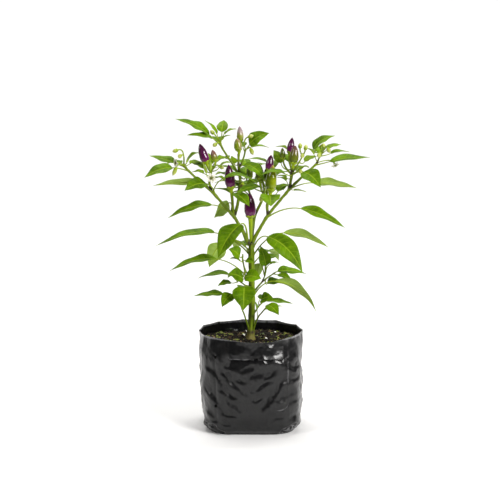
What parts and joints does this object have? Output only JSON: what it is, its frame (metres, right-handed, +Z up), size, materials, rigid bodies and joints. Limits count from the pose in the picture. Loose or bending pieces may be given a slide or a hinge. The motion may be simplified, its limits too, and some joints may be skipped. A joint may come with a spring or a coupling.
{
  "type": "potted chilli pepper plant",
  "caption": "Bushy chilli pepper plant with upright purple and green fruits, pointed leaves and small white flowers, growing in a soil-filled black film grow bag.",
  "frame": {"origin": "centre of the flat underside of the grow bag", "axes": "+Z up along the trunk, +X to the right and -Y towards the viewer of the pictured side"},
  "size_m": [0.265, 0.1601, 0.3723],
  "materials": {
    "film": "satin",
    "potting_mix": "matte",
    "bark": "matte",
    "foliage": "satin",
    "young_foliage": "satin",
    "purple_fruit": "gloss",
    "green_fruit": "gloss",
    "ripening_fruit": "gloss",
    "petal": "matte"
  },
  "bodies": {
    "root": {"bag": "film", "soil": "potting_mix", "trunk": "bark", "pepper_crown": "purple_fruit", "limb_left": "foliage", "pepper_left_inner": "purple_fruit", "flower_left_tip": "petal", "spur_left": "foliage", "pepper_left_spur": "purple_fruit", "pepper_left_small": "ripening_fruit", "flower_left_front": "petal", "limb_left_inner": "foliage", "pepper_top_front": "ripening_fruit", "pepper_top": "ripening_fruit", "limb_left_top": "foliage", "limb_centre": "foliage", "pepper_centre_right": "green_fruit", "pepper_centre_left": "green_fruit", "pepper_back": "purple_fruit", "limb_right": "foliage", "flower_right_tip": "petal", "limb_right_upper": "foliage", "pepper_right_front": "ripening_fruit", "pepper_right_top": "purple_fruit", "pepper_right_small": "green_fruit", "limb_right_inner": "foliage", "pepper_right_inner": "green_fruit", "pepper_right_inner_back": "purple_fruit", "shoot_left_mid": "young_foliage", "shoot_left_low": "young_foliage", "shoot_base_left": "young_foliage", "shoot_base_right": "young_foliage", "shoot_right_low": "young_foliage", "shoot_right_mid": "young_foliage", "leaf_left_long": "foliage", "leaf_left_low": "foliage", "leaf_left_back": "foliage", "leaf_right_front": "foliage", "leaf_right_upper": "foliage", "leaf_right_droop": "foliage", "leaf_front_low": "foliage", "leaf_back_upper": "foliage", "leaf_back_right": "foliage", "leaf_back_low": "foliage"}
  },
  "joints": []
}
